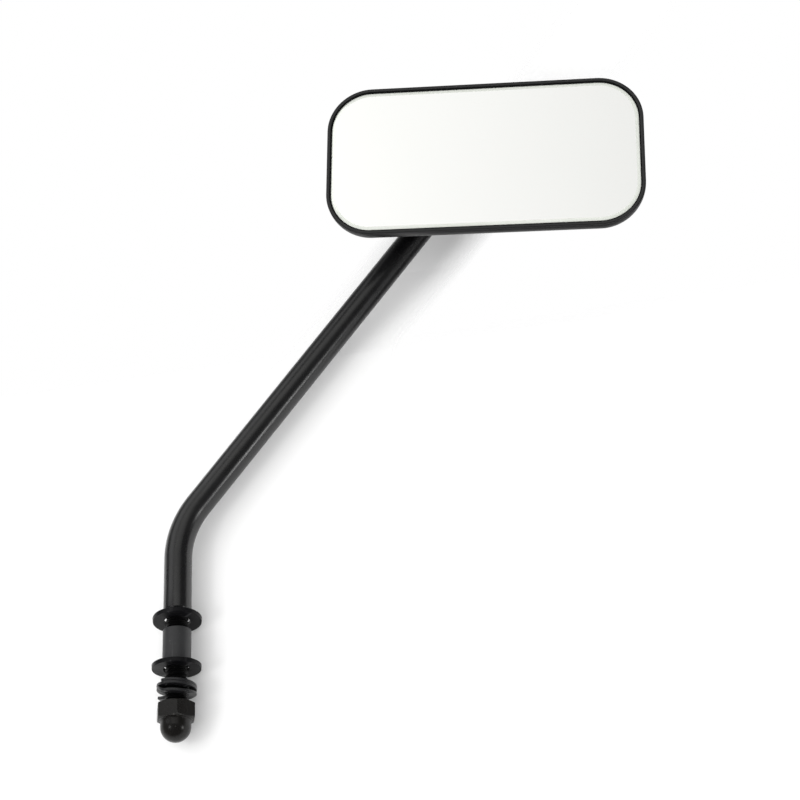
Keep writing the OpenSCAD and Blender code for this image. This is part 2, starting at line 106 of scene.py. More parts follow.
def loftRings(rings, closed=False):
    # faces between rings of equal length, with a flat cap on both ends unless the loft is closed
    count = len(rings[0])
    points = [point for ring in rings for point in ring]
    faces = []
    last = len(rings) if closed else len(rings) - 1
    for i in range(last):
        low = i * count
        high = ((i + 1) % len(rings)) * count
        for k in range(count):
            after = (k + 1) % count
            faces.append((low + k, low + after, high + after, high + k))
    if not closed:
        faces.append(tuple(reversed(range(count))))
        faces.append(tuple(range((len(rings) - 1) * count, len(rings) * count)))
    return points, faces


def turnedRings(profile, segments):
    # profile is a list of (radius, height), and either may be a function of the angle
    rings = []
    for radius, height in profile:
        ring = []
        for k in range(segments):
            angle = 2 * math.pi * k / segments
            r = radius(angle) if callable(radius) else radius
            z = height(angle) if callable(height) else height
            ring.append((r * math.cos(angle), r * math.sin(angle), z))
        rings.append(ring)
    return rings


def arcProfile(centreRadius, centreHeight, radius, start, end, steps):
    # points of an arc in a turned profile, angles in degrees from the outward direction
    points = []
    for k in range(steps + 1):
        angle = math.radians(start + (end - start) * k / steps)
        points.append((centreRadius + radius * math.cos(angle), centreHeight + radius * math.sin(angle)))
    return points


def threadRadius(angle, height, rootRadius, depth, pitch, share):
    # sixty degree thread, right handed, with flat roots and crests
    flank, rootFlat = 1.35, 0.18
    phase = (height / pitch - angle / (2 * math.pi)) % 1.0
    slope = min(1.0, max(0.0, (0.5 - abs(phase - 0.5)) * 2 * flank - rootFlat))
    return rootRadius + depth * share * slope


def threadedRings(low, high, rootRadius, depth, pitch, segments, fadeLow, fadeHigh, step):
    # rings of a threaded rod between two heights, the thread running out at both ends
    rings = []
    count = round((high - low) / step)
    for i in range(count + 1):
        z = low + (high - low) * i / count
        share = min(1.0, (z - low) / fadeLow, (high - z) / fadeHigh)
        ring = []
        for k in range(segments):
            angle = 2 * math.pi * k / segments
            r = threadRadius(angle, z, rootRadius, depth, pitch, max(0.0, share))
            ring.append((r * math.cos(angle), r * math.sin(angle), z))
        rings.append(ring)
    return rings


def hexRadius(acrossFlats):
    # distance to a hexagon's side at an angle, with a corner at 0
    def reach(angle):
        return acrossFlats / 2 / math.cos(angle % (math.pi / 3) - math.pi / 6)
    return reach


def turnRings(rings, angle):
    # the same rings turned about their axis
    c, s = math.cos(angle), math.sin(angle)
    return [[(x * c - y * s, x * s + y * c, z) for x, y, z in ring] for ring in rings]


def headLoop(inset, height, corner, size, cornerSteps=20, sideSteps=(18, 8)):
    # one loop of the head's outline, stepped in, counter-clockwise
    w, h = size[0] / 2 - inset, size[1] / 2 - inset
    r = max(corner - inset, 0.5)
    centres = ((w - r, h - r), (-w + r, h - r), (-w + r, -h + r), (w - r, -h + r))
    loop = []
    for index, (cx, cy) in enumerate(centres):
        for k in range(cornerSteps + 1):
            angle = math.radians(90 * index + 90 * k / cornerSteps)
            loop.append((cx + r * math.cos(angle), cy + r * math.sin(angle), height))
        nx, ny = centres[(index + 1) % 4]
        endAngle = math.radians(90 * (index + 1))
        start = (cx + r * math.cos(endAngle), cy + r * math.sin(endAngle))
        end = (nx + r * math.cos(endAngle), ny + r * math.sin(endAngle))
        steps = sideSteps[index % 2]
        for k in range(1, steps):
            t = k / steps
            loop.append((start[0] + (end[0] - start[0]) * t, start[1] + (end[1] - start[1]) * t, height))
    return loop


# Shader helpers

def newMaterial(name):
    material = bpy.data.materials.new(name)
    material.use_nodes = True
    nodes = material.node_tree.nodes
    return material, nodes, material.node_tree.links, nodes["Principled BSDF"]


def newGroup(name, inputs, outputs):
    group = bpy.data.node_groups.new(name, "ShaderNodeTree")
    for label, kind, value in inputs:
        socket = group.interface.new_socket(name=label, in_out="INPUT", socket_type=kind)
        socket.default_value = value
    for label, kind in outputs:
        group.interface.new_socket(name=label, in_out="OUTPUT", socket_type=kind)
    start = group.nodes.new("NodeGroupInput")
    end = group.nodes.new("NodeGroupOutput")
    return group, group.nodes, group.links, start, end


def placeGroup(nodes, group, values):
    node = nodes.new("ShaderNodeGroup")
    node.node_tree = group
    for label, value in values.items():
        node.inputs[label].default_value = value
    return node


def feed(links, socket, value):
    # a number or a colour is set on the socket, and another node's output is linked to it
    if isinstance(value, (int, float, tuple)):
        socket.default_value = value
    else:
        links.new(value, socket)


def mathNode(nodes, links, operation, *values):
    node = nodes.new("ShaderNodeMath")
    node.operation = operation
    for socket, value in zip(node.inputs, values):
        feed(links, socket, value)
    return node.outputs[0]


def rangeNode(nodes, links, value, fromLow, fromHigh, toLow, toHigh):
    node = nodes.new("ShaderNodeMapRange")
    settings = {"Value": value, "From Min": fromLow, "From Max": fromHigh, "To Min": toLow, "To Max": toHigh}
    for label, setting in settings.items():
        feed(links, node.inputs[label], setting)
    return node.outputs["Result"]


def mixColour(nodes, links, factor, first, second):
    node = nodes.new("ShaderNodeMix")
    node.data_type = "RGBA"
    for label, value in (("Factor", factor), ("A", first), ("B", second)):
        feed(links, node.inputs[label], value)
    return node.outputs["Result"]


def noiseNode(nodes, links, vector, scale, detail, roughness):
    node = nodes.new("ShaderNodeTexNoise")
    for label, value in (("Scale", scale), ("Detail", detail), ("Roughness", roughness), ("Vector", vector)):
        feed(links, node.inputs[label], value)
    return node.outputs["Fac"]


def addRelief(nodes, links, shader, height, strength, depth):
    # the depth is in millimetres
    bump = nodes.new("ShaderNodeBump")
    bump.inputs["Strength"].default_value = strength
    bump.inputs["Distance"].default_value = depth * mm
    links.new(height, bump.inputs["Height"])
    links.new(bump.outputs["Normal"], shader.inputs["Normal"])


coatPattern = {"cloudScale": 110.0, "cloudRange": (0.3, 0.7),
               "speckScale": 1700.0, "speckRange": (0.72, 0.78)}


def buildCoatGroup(pattern):
    # powder coat and plating: fine grain, slow orange peel, cloudy sheen, and a little settled dust
    inputs = [("Grain Size", "NodeSocketFloat", 0.35), ("Peel Size", "NodeSocketFloat", 2.0),
              ("Grain Depth", "NodeSocketFloat", 0.35), ("Roughness Low", "NodeSocketFloat", 0.3),
              ("Roughness High", "NodeSocketFloat", 0.4)]
    outputs = [("Height", "NodeSocketFloat"), ("Roughness", "NodeSocketFloat"),
               ("Cloud", "NodeSocketFloat"), ("Speck", "NodeSocketFloat")]
    group, nodes, links, start, end = newGroup("coatSurface", inputs, outputs)
    place = nodes.new("ShaderNodeTexCoord").outputs["Object"]
    grainScale = mathNode(nodes, links, "DIVIDE", 1 / mm, start.outputs["Grain Size"])
    peelScale = mathNode(nodes, links, "DIVIDE", 1 / mm, start.outputs["Peel Size"])
    grain = noiseNode(nodes, links, place, grainScale, 2.0, 0.6)
    peel = noiseNode(nodes, links, place, peelScale, 1.0, 0.4)
    grainPart = mathNode(nodes, links, "MULTIPLY", grain, start.outputs["Grain Depth"])
    height = mathNode(nodes, links, "ADD", grainPart, peel)
    cloud = noiseNode(nodes, links, place, pattern["cloudScale"], 3.0, 0.55)
    roughness = rangeNode(nodes, links, cloud, *pattern["cloudRange"],
                          start.outputs["Roughness Low"], start.outputs["Roughness High"])
    speckNoise = noiseNode(nodes, links, place, pattern["speckScale"], 1.0, 0.5)
    speck = rangeNode(nodes, links, speckNoise, *pattern["speckRange"], 0.0, 1.0)
    for label, value in (("Height", height), ("Roughness", roughness), ("Cloud", cloud), ("Speck", speck)):
        links.new(value, end.inputs[label])
    return group


wearPattern = {"scale": 900.0, "spread": 0.04}


def buildWearGroup(pattern):
    # rubbed edges, from the shape's own convex edges broken up by noise
    inputs = [("Reach", "NodeSocketFloat", 0.53), ("Breakup", "NodeSocketFloat", 0.06)]
    outputs = [("Mask", "NodeSocketFloat")]
    group, nodes, links, start, end = newGroup("rubbedEdges", inputs, outputs)
    place = nodes.new("ShaderNodeTexCoord").outputs["Object"]
    pointed = nodes.new("ShaderNodeNewGeometry").outputs["Pointiness"]
    breakup = noiseNode(nodes, links, place, pattern["scale"], 4.0, 0.65)
    centred = mathNode(nodes, links, "SUBTRACT", breakup, 0.5)
    shift = mathNode(nodes, links, "MULTIPLY", centred, start.outputs["Breakup"])
    shifted = mathNode(nodes, links, "ADD", pointed, shift)
    high = mathNode(nodes, links, "ADD", start.outputs["Reach"], pattern["spread"])
    mask = rangeNode(nodes, links, shifted, start.outputs["Reach"], high, 0.0, 1.0)
    links.new(mask, end.inputs["Mask"])
    return group


def buildScratchGroup():
    # hairline marks of handling, as stretched noise across the surface
    inputs = [("Scale", "NodeSocketFloat", 400.0), ("Stretch", "NodeSocketFloat", 0.08)]
    outputs = [("Mask", "NodeSocketFloat")]
    group, nodes, links, start, end = newGroup("handlingMarks", inputs, outputs)
    place = nodes.new("ShaderNodeTexCoord").outputs["Object"]
    parts = nodes.new("ShaderNodeSeparateXYZ")
    links.new(place, parts.inputs[0])
    joined = nodes.new("ShaderNodeCombineXYZ")
    drawn = mathNode(nodes, links, "MULTIPLY", parts.outputs["Z"], start.outputs["Stretch"])
    for label, value in (("X", parts.outputs["X"]), ("Y", parts.outputs["Y"]), ("Z", drawn)):
        links.new(value, joined.inputs[label])
    fine = noiseNode(nodes, links, joined.outputs[0], start.outputs["Scale"], 3.0, 0.6)
    mask = rangeNode(nodes, links, fine, 0.62, 0.74, 0.0, 1.0)
    links.new(mask, end.inputs["Mask"])
    return group


coatSurface = buildCoatGroup(coatPattern)
rubbedEdges = buildWearGroup(wearPattern)
handlingMarks = buildScratchGroup()
dust = (0.35, 0.34, 0.32, 1.0)


def coatedMaterial(name, look):
    # black coats and platings share one build, each with its own colours and grain
    material, nodes, links, shader = newMaterial(name)
    coat = placeGroup(nodes, coatSurface, {
        "Grain Size": look["grain"], "Peel Size": look["peel"], "Grain Depth": look["grainDepth"],
        "Roughness Low": look["rough"][0], "Roughness High": look["rough"][1]})
    wear = placeGroup(nodes, rubbedEdges, {"Reach": look["wearReach"], "Breakup": 0.05})
    marks = placeGroup(nodes, handlingMarks, {"Scale": 420.0, "Stretch": 0.1})
    base = mixColour(nodes, links, coat.outputs["Cloud"], look["dark"], look["light"])
    layers = ((coat.outputs["Speck"], look["speck"], dust),
              (marks.outputs["Mask"], look["marks"], look["worn"]),
              (wear.outputs["Mask"], look["wear"], look["worn"]))
    for mask, amount, colour in layers:
        base = mixColour(nodes, links, mathNode(nodes, links, "MULTIPLY", mask, amount), base, colour)
    links.new(base, shader.inputs["Base Color"])
    links.new(coat.outputs["Roughness"], shader.inputs["Roughness"])
    addRelief(nodes, links, shader, coat.outputs["Height"], look["bump"], look["bumpDepth"])
    shader.inputs["Metallic"].default_value = look["metal"]
    shader.inputs["Specular IOR Level"].default_value = look["specular"]
    return material


satinPowder = coatedMaterial("satinPowderCoat", {
    "dark": (0.0015, 0.0015, 0.0018, 1), "light": (0.0026, 0.0026, 0.003, 1), "worn": (0.02, 0.02, 0.022, 1),
    "grain": 0.3, "peel": 1.7, "grainDepth": 0.3, "rough": (0.24, 0.32), "bump": 0.25, "bumpDepth": 0.05,
    "wearReach": 0.58, "wear": 0.2, "marks": 0.04, "speck": 0.0, "metal": 0.0, "specular": 0.62})
shellBlack = coatedMaterial("shellSatinBlack", {
    "dark": (0.004, 0.0042, 0.0046, 1), "light": (0.0065, 0.0067, 0.0071, 1), "worn": (0.03, 0.03, 0.032, 1),
    "grain": 0.25, "peel": 1.6, "grainDepth": 0.5, "rough": (0.34, 0.42), "bump": 0.25, "bumpDepth": 0.04,
    "wearReach": 0.6, "wear": 0.2, "marks": 0.04, "speck": 0.0, "metal": 0.0, "specular": 0.5})
blackZinc = coatedMaterial("washerBlackZinc", {
    "dark": (0.003, 0.003, 0.0036, 1), "light": (0.006, 0.006, 0.0067, 1), "worn": (0.08, 0.08, 0.083, 1),
    "grain": 0.18, "peel": 0.9, "grainDepth": 0.6, "rough": (0.32, 0.46), "bump": 0.3, "bumpDepth": 0.02,
    "wearReach": 0.55, "wear": 0.4, "marks": 0.12, "speck": 0.1, "metal": 0.0, "specular": 0.11})
lockZinc = coatedMaterial("lockWasherBlackZinc", {
    "dark": (0.008, 0.008, 0.009, 1), "light": (0.013, 0.013, 0.014, 1), "worn": (0.1, 0.1, 0.103, 1),
    "grain": 0.18, "peel": 0.9, "grainDepth": 0.6, "rough": (0.25, 0.38), "bump": 0.3, "bumpDepth": 0.02,
    "wearReach": 0.55, "wear": 0.4, "marks": 0.2, "speck": 0.1, "metal": 0.0, "specular": 0.34})
# black thread, made darker and far less glossy than the rod: painted shade for the shade that falls on it
# between the washers
studBlackAndShade = coatedMaterial("studThreadBlackAndShade", {
    "dark": (0.001, 0.001, 0.0011, 1), "light": (0.0018, 0.0018, 0.002, 1), "worn": (0.03, 0.03, 0.03, 1),
    "grain": 0.18, "peel": 0.7, "grainDepth": 0.6, "rough": (0.35, 0.5), "bump": 0.2, "bumpDepth": 0.02,
    "wearReach": 0.6, "wear": 0.2, "marks": 0.08, "speck": 0.05, "metal": 0.0, "specular": 0.06})
sleevePhosphate = coatedMaterial("sleevePhosphate", {
    "dark": (0.0125, 0.0127, 0.0137, 1), "light": (0.019, 0.0195, 0.021, 1), "worn": (0.12, 0.12, 0.123, 1),
    "grain": 0.16, "peel": 0.8, "grainDepth": 0.9, "rough": (0.42, 0.54), "bump": 0.4, "bumpDepth": 0.03,
    "wearReach": 0.56, "wear": 0.35, "marks": 0.2, "speck": 0.1, "metal": 0.0, "specular": 0.5})
nutOxide = coatedMaterial("nutBlackOxide", {
    "dark": (0.0036, 0.0032, 0.0028, 1), "light": (0.006, 0.0053, 0.0046, 1), "worn": (0.07, 0.065, 0.06, 1),
    "grain": 0.2, "peel": 1.2, "grainDepth": 0.6, "rough": (0.24, 0.34), "bump": 0.35, "bumpDepth": 0.04,
    "wearReach": 0.55, "wear": 0.4, "marks": 0.1, "speck": 0.08, "metal": 0.0, "specular": 0.26})
gasketRubber = coatedMaterial("gasketRubber", {
    "dark": (0.0018, 0.0018, 0.002, 1), "light": (0.0032, 0.0032, 0.0035, 1), "worn": (0.02, 0.02, 0.02, 1),
    "grain": 0.2, "peel": 0.8, "grainDepth": 0.7, "rough": (0.55, 0.7), "bump": 0.25, "bumpDepth": 0.02,
    "wearReach": 0.7, "wear": 0.1, "marks": 0.0, "speck": 0.05, "metal": 0.0, "specular": 0.14})
zincSteel = coatedMaterial("zincPlatedSteel", {
    "dark": (0.42, 0.42, 0.4, 1), "light": (0.58, 0.58, 0.56, 1), "worn": (0.75, 0.75, 0.73, 1),
    "grain": 0.2, "peel": 0.9, "grainDepth": 0.5, "rough": (0.22, 0.38), "bump": 0.25, "bumpDepth": 0.02,
    "wearReach": 0.56, "wear": 0.5, "marks": 0.3, "speck": 0.0, "metal": 1.0, "specular": 0.5})
nylonLiner = coatedMaterial("nylonLiner", {
    "dark": (0.62, 0.6, 0.54, 1), "light": (0.7, 0.68, 0.62, 1), "worn": (0.75, 0.74, 0.7, 1),
    "grain": 0.3, "peel": 1.4, "grainDepth": 0.4, "rough": (0.4, 0.52), "bump": 0.2, "bumpDepth": 0.02,
    "wearReach": 0.7, "wear": 0.2, "marks": 0.05, "speck": 0.0, "metal": 0.0, "specular": 0.5})
padFoam = coatedMaterial("padFoam", {
    "dark": (0.03, 0.03, 0.03, 1), "light": (0.06, 0.06, 0.06, 1), "worn": (0.08, 0.08, 0.08, 1),
    "grain": 0.5, "peel": 1.2, "grainDepth": 1.5, "rough": (0.85, 0.95), "bump": 0.9, "bumpDepth": 0.15,
    "wearReach": 0.7, "wear": 0.0, "marks": 0.0, "speck": 0.0, "metal": 0.0, "specular": 0.3})


silverLook = {"dark": (0.93, 0.94, 0.932, 1), "light": (0.945, 0.95, 0.945, 1),
              "hazeScale": 28.0, "hazeRange": (0.35, 0.75), "rough": (0.015, 0.05)}
bevelLook = {"dark": (0.74, 0.77, 0.7, 1), "light": (0.86, 0.88, 0.83, 1), "cloudScale": 60.0,
             "grindScale": 700.0, "grindRange": (0.3, 0.7), "rough": (0.12, 0.28),
             "bump": 0.15, "bumpDepth": 0.01, "metal": 0.3}


def buildMirrorSilver(look):
    # second-surface mirror: clear and even, with the faintest haze of old wiping
    material, nodes, links, shader = newMaterial("mirrorSilver")
    place = nodes.new("ShaderNodeTexCoord").outputs["Object"]
    haze = noiseNode(nodes, links, place, look["hazeScale"], 4.0, 0.6)
    tint = mixColour(nodes, links, haze, look["dark"], look["light"])
    links.new(tint, shader.inputs["Base Color"])
    links.new(rangeNode(nodes, links, haze, *look["hazeRange"], *look["rough"]), shader.inputs["Roughness"])
    shader.inputs["Metallic"].default_value = 1.0
    return material


def buildGroundBevel(look):
    # the ground edge of the glass: a little green and softly frosted
    material, nodes, links, shader = newMaterial("groundBevel")
    place = nodes.new("ShaderNodeTexCoord").outputs["Object"]
    grind = noiseNode(nodes, links, place, look["grindScale"], 3.0, 0.6)
    cloud = noiseNode(nodes, links, place, look["cloudScale"], 2.0, 0.5)
    tint = mixColour(nodes, links, cloud, look["dark"], look["light"])
    links.new(tint, shader.inputs["Base Color"])
    links.new(rangeNode(nodes, links, grind, *look["grindRange"], *look["rough"]), shader.inputs["Roughness"])
    addRelief(nodes, links, shader, grind, look["bump"], look["bumpDepth"])
    shader.inputs["Metallic"].default_value = look["metal"]
    return material


mirrorSilver = buildMirrorSilver(silverLook)
groundBevel = buildGroundBevel(bevelLook)
print("finishes ready:", len(bpy.data.materials))


# The stem: a bent rod that ends in an eye above and a threaded stud below

stemShape = {
    "rod": 5.0, "shoulder": 13.35, "firstCorner": 45.85, "firstRadius": 32.0, "endRadius": 18.0,
    "legLength": 26.9, "legAngle": 26.3, "reach": 15.4,
    "eyeRadius": 8.0, "eyeThick": 7.0, "taper": 14.0, "flatFrom": 5.0, "roundFrom": 2.0, "squareness": 5.0,
    "tipRound": 2.5, "tipThinning": 0.18, "edge": 0.7,
    "studRoot": 3.3, "studDepth": 0.67, "studLow": -28.25, "chamfer": 0.7,
    "pitch": 1.411, "threadStep": 0.118}


def roundedPath(corners, radii, arcSteps=28, straightStep=6.0):
    # points and tangents along straight runs joined by arcs
    stations = []
    previous = corners[0]
    for index in range(1, len(corners) - 1):
        corner = corners[index]
        inward = (corner - corners[index - 1]).normalized()
        outward = (corners[index + 1] - corner).normalized()
        angle = inward.angle(outward)
        tangent = radii[index - 1] * math.tan(angle / 2)
        start = corner - inward * tangent
        steps = max(2, int((start - previous).length / straightStep))
        stations += [(previous.lerp(start, k / steps), inward) for k in range(steps)]
        axis = inward.cross(outward).normalized()
        centre = start + axis.cross(inward) * radii[index - 1]
        for k in range(arcSteps):
            turn = Matrix.Rotation(angle * k / arcSteps, 3, axis)
            stations.append((centre + turn @ (start - centre), turn @ inward))
        previous = corner + outward * tangent
    end = corners[-1]
    direction = (end - previous).normalized()
    steps = max(2, int((end - previous).length / straightStep))
    stations += [(previous.lerp(end, k / steps), direction) for k in range(steps + 1)]
    return stations


def crossRing(place, way, across, radius, segments):
    # a round ring square to the path
    up = way.cross(across)
    turns = [2 * math.pi * k / segments for k in range(segments)]
    return [place + (across * math.cos(turn) + up * math.sin(turn)) * radius for turn in turns]


def buildStem(shape):
    leg = math.radians(shape["legAngle"])
    legWay = headRight * math.cos(leg) + headUp * math.sin(leg)
    eye = (ballCentre / mm) - headOut * shape["reach"]
    corners = [Vector((0, 0, shape["shoulder"])), Vector((0, 0, shape["firstCorner"])),
               eye - legWay * shape["legLength"], eye - legWay * shape["taper"]]
    stations = roundedPath(corners, [shape["firstRadius"], shape["endRadius"]])
    segments = 96
    side = Vector((0, -1, 0))
    frames = []
    for place, way in stations:
        side = (side - way * side.dot(way)).normalized()
        frames.append((place, way, side.copy()))
    # the rod's lower end, rounded where it meets the stud
    r, edge = shape["rod"], shape["edge"]
    shoulder = [(shape["studRoot"], 0.0), (r - edge, 0.0)]
    for k in range(1, 5):
        angle = math.radians(90 * k / 4)
        shoulder.append((r - edge + edge * math.sin(angle), edge * (1 - math.cos(angle))))
    place, way, across = frames[0]
    rings = [crossRing(place + way * lift, way, across, radius, segments) for radius, lift in shoulder]
    rings += [crossRing(place, way, across, r, segments) for place, way, across in frames[1:]]
    # from the round rod to the flat eye: the ring's own axes turn into the eye's plane
    place, way, across = frames[-1]
    flat = headOut
    wide = way.cross(flat)
    turn = math.atan2(across.dot(wide), across.dot(flat))
    eyeR, half, taper = shape["eyeRadius"], shape["eyeThick"] / 2, shape["taper"]
    tangentAt = eyeR * eyeR / taper
    tangentWidth = math.sqrt(eyeR ** 2 - tangentAt ** 2)
    roundFrom = shape["roundFrom"]
    stops = [taper - (taper - roundFrom) * k / 16 for k in range(1, 17)]
    stops += [roundFrom - (roundFrom + eyeR) * math.sin(math.radians(90 * k / 18)) for k in range(1, 19)]
    for stop in stops:
        blend = min(1.0, max(0.0, (taper - stop) / (taper - shape["flatFrom"])))
        soft = blend * blend * (3 - 2 * blend)
        if stop > tangentAt:
            width = r + (tangentWidth - r) * (taper - stop) / (taper - tangentAt)
        else:
            width = math.sqrt(max(0.0, eyeR ** 2 - stop ** 2))
        full = 1.0 - shape["tipThinning"] * (1.0 - min(1.0, width / shape["tipRound"]))
        thick = (r + (half - r) * soft) * full
        power = 2.0 + shape["squareness"] * soft  # 2 is round, and more is squarer
        ring = []
        for k in range(segments):
            angle = 2 * math.pi * k / segments + turn
            c, s = math.cos(angle), math.sin(angle)
            reach = (abs(c) ** power + abs(s) ** power) ** (-1 / power)
            ring.append(eye - way * stop + flat * (c * reach * thick)
                        + wide * (s * reach * max(width, 0.05)))
        rings.append(ring)
    points, faces = loftRings(rings)
    return addPiece("stemRod", points, faces, [satinPowder], "stem", ("stem",))


def buildStud(shape):
    low, high = shape["studLow"], shape["shoulder"] + 0.3
    root, step = shape["studRoot"], shape["threadStep"]
    thread = threadedRings(low + 0.05, high, root, shape["studDepth"], shape["pitch"], 64, 0.9, 1.6, step)
    for index in range(7):
        # the chamfer on the stud's tip, one thread step at a time
        cap = root - shape["chamfer"] + step * index
        thread[index] = [(x * min(1.0, cap / math.hypot(x, y)), y * min(1.0, cap / math.hypot(x, y)), z)
                         for x, y, z in thread[index]]
    rings = turnedRings([(root - shape["chamfer"] - 0.05, low)], 64) + thread
    points, faces = loftRings(rings)
    return addPiece("studThread", points, faces, [studBlackAndShade], "stem")


stemRod = buildStem(stemShape)
buildStud(stemShape)
print("stem bent:", len(stemRod.data.polygons), "faces")


# Washers, sleeve and lock washer on the stud

washerShape = {"outer": 8.75, "hole": 4.7, "thick": 1.6, "slant": 5.0,
               "draft": 0.1, "rollOver": 0.12, "punch": 0.08, "edge": 0.16}
sleeveShape = {"outer": 5.05, "bore": 4.15, "half": 6.35, "edge": 0.22}
coilShape = {"inner": 4.15, "outer": 7.0, "thick": 1.0, "turns": 2.85, "slant": 3.4, "spring": 1.7,
             "start": 252.0, "lowSide": 80.0, "play": 0.05, "tipDrop": 1.35, "tipRun": 130.0,
             "open": (124.0, 120.0), "shut": (289.0, 40.0), "aside": 0.15, "edge": 0.2,
             "stepsPerTurn": 120, "endShrink": 0.12}


def buildWasher(name, node, body, shape, slant):
    low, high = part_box(node)
    centre = (Vector(low) + Vector(high)) / 2
    half, outer, hole, draft = shape["thick"] / 2, shape["outer"], shape["hole"], shape["draft"]
    profile = [(hole, -half), (outer - draft, -half), (outer, half - draft),
               (outer - shape["rollOver"], half), (hole + shape["punch"], half)]
    points, faces = loftRings(turnedRings(profile, 144), closed=True)
    place = Matrix.Translation(centre) @ Matrix.Rotation(frontAngle + math.pi / 2, 4, "Z")
    place = place @ Matrix.Rotation(-math.radians(slant), 4, "X")
    piece = addPiece(name, points, faces, [blackZinc], body, (node,), place)
    return breakEdges(piece, shape["edge"])


def buildSleeve(shape):
    profile = [(shape["bore"], -shape["half"]), (shape["outer"], -shape["half"]),
               (shape["outer"], shape["half"]), (shape["bore"], shape["half"])]
    points, faces = loftRings(turnedRings(profile, 144), closed=True)
    piece = addPiece("spacerTube", points, faces, [sleevePhosphate], "stem",
                     ("spacer_sleeve",))
    return breakEdges(piece, shape["edge"])


def softStep(share):
    return math.sin(math.pi / 2 * max(0.0, min(1.0, share))) ** 2


def coilRise(shape, along):
    # closed turns with a slight lean, the lowest one sprung away from them at the front
    rise = (shape["thick"] + shape["play"]) * along / 360
    side = math.radians(shape["start"] - shape["lowSide"] - along)
    rise -= shape["outer"] * math.tan(math.radians(shape["slant"])) * math.cos(side)
    rise -= shape["tipDrop"] * softStep(1 - along / shape["tipRun"])
    opening = softStep((along - shape["open"][0]) / shape["open"][1])
    closing = softStep(1 - (along - shape["shut"][0]) / shape["shut"][1])
    return rise - shape["spring"] * opening * closing


def buildLockWasher(shape):
    low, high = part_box("lock_washer")
    steps = int(shape["turns"] * shape["stepsPerTurn"])
    alongs = [360 * shape["turns"] * i / steps for i in range(steps + 1)]
    rises = [coilRise(shape, along) for along in alongs]
    base = low[2] / mm - min(rises)
    e, inner, outer, thick = shape["edge"], shape["inner"], shape["outer"], shape["thick"]
    corners = [(outer - e, e, -90), (outer - e, thick - e, 0),
               (inner + e, thick - e, 90), (inner + e, e, 180)]
    section = []
    for cx, cz, begin in corners:
        section += arcProfile(cx, cz, e, begin, begin + 90, 5)
    turn = frontAngle + math.pi / 2
    offX, offY = shape["aside"] * math.cos(turn), shape["aside"] * math.sin(turn)
    middle = (inner + outer) / 2
    rings = []
    for along, rise in zip(alongs, rises):
        angle = frontAngle + math.radians(shape["start"] - along)
        c, s = math.cos(angle), math.sin(angle)
        shrink = shape["endShrink"] if along in (alongs[0], alongs[-1]) else 0.0
        ring = []
        for r, z in section:
            r += (middle - r) * shrink
            z += (thick / 2 - z) * shrink
            ring.append((offX + r * c, offY + r * s, base + rise + z))
        rings.append(ring)
    points, faces = loftRings(rings)
    return addPiece("coilLockWasher", points, faces, [lockZinc], "loose_fixings",
                    ("lock_washer",))


buildWasher("upperWasherRing", "upper_washer", "upper_washer", washerShape, washerShape["slant"])
buildWasher("lowerWasherRing", "lower_washer", "loose_fixings", washerShape, 0.0)
buildSleeve(sleeveShape)
buildLockWasher(coilShape)
print("fixings threaded on the stud")


# The domed nut, with its bore threaded

nutShape = {"acrossFlats": 12.7, "hexHeight": 6.1, "dome": 5.35, "neck": 2.2, "fillet": 0.45, "corner": 3.0,
            "face": 0.96, "bore": 3.4, "boreEnd": -28.4, "threadDepth": 0.45, "mouth": 0.92, "pitch": 1.411,
            "threadStep": 0.176, "edge": 0.14}


def hexBlankProfile(acrossFlats, low, high, face, bothEnds):
    # ring by ring: the turned face, the curve where the turned cone meets the flats, and back
    reach = hexRadius(acrossFlats)
    faceRadius = acrossFlats / 2 * face
    slope = math.tan(math.radians(30))

    def drop(angle):
        return (reach(angle) - faceRadius) * slope

    lower = [(faceRadius, low), (reach, lambda angle: low + drop(angle))] if bothEnds else [(reach, low)]
    return lower + [(reach, lambda angle: high - drop(angle)), (faceRadius, high)]


def buildNut(shape):
    low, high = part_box("acorn_nut")
    top = high[2] / mm
    hexLow = top - shape["hexHeight"]
    domeCentre = hexLow - shape["neck"]
    dome, fillet, bore = shape["dome"], shape["fillet"], shape["bore"]
    profile = arcProfile(0, domeCentre, dome, -88.5, 0, 26) + [(dome, domeCentre + 0.8)]
    profile += arcProfile(dome + fillet, hexLow - fillet, fillet, 180, 90, 5)
    profile += hexBlankProfile(shape["acrossFlats"], hexLow, top, shape["face"], True)
    profile += [(bore + shape["mouth"], top), (bore + 0.05, top - 0.75)]
    outer = turnRings(turnedRings(profile, 144), frontAngle + math.radians(shape["corner"]))
    thread = threadedRings(shape["boreEnd"], top - 0.8, bore, shape["threadDepth"], shape["pitch"],
                           144, 0.6, 0.4, shape["threadStep"])
    rings = outer + list(reversed(thread))
    points, faces = loftRings(rings)
    piece = addPiece("domedNut", points, faces, [nutOxide], "nut", ("acorn_nut",))
    return breakEdges(piece, shape["edge"], 24)


domedNut = buildNut(nutShape)
print("nut turned:", len(domedNut.data.polygons), "faces")


# Ball stud, its split washer and nut, behind the head

ballShape = {
    "ball": 5.0, "neck": 2.75, "neckFillet": 0.7, "collar": 10.0, "collarThick": 2.0, "collarTurn": 26.3,
    "reach": 15.4, "eyeThick": 7.0, "shank": 3.0, "threadDepth": 0.43, "pitch": 1.0, "threadStep": 0.1,
    "splitThick": 1.5, "splitOuter": 5.6, "splitStart": -54.0, "splitSweep": 348.0, "splitLean": 5.0,
    "nutHeight": 5.0, "nutTurn": 36.3, "tail": 1.6, "face": 0.96, "edge": 0.1}


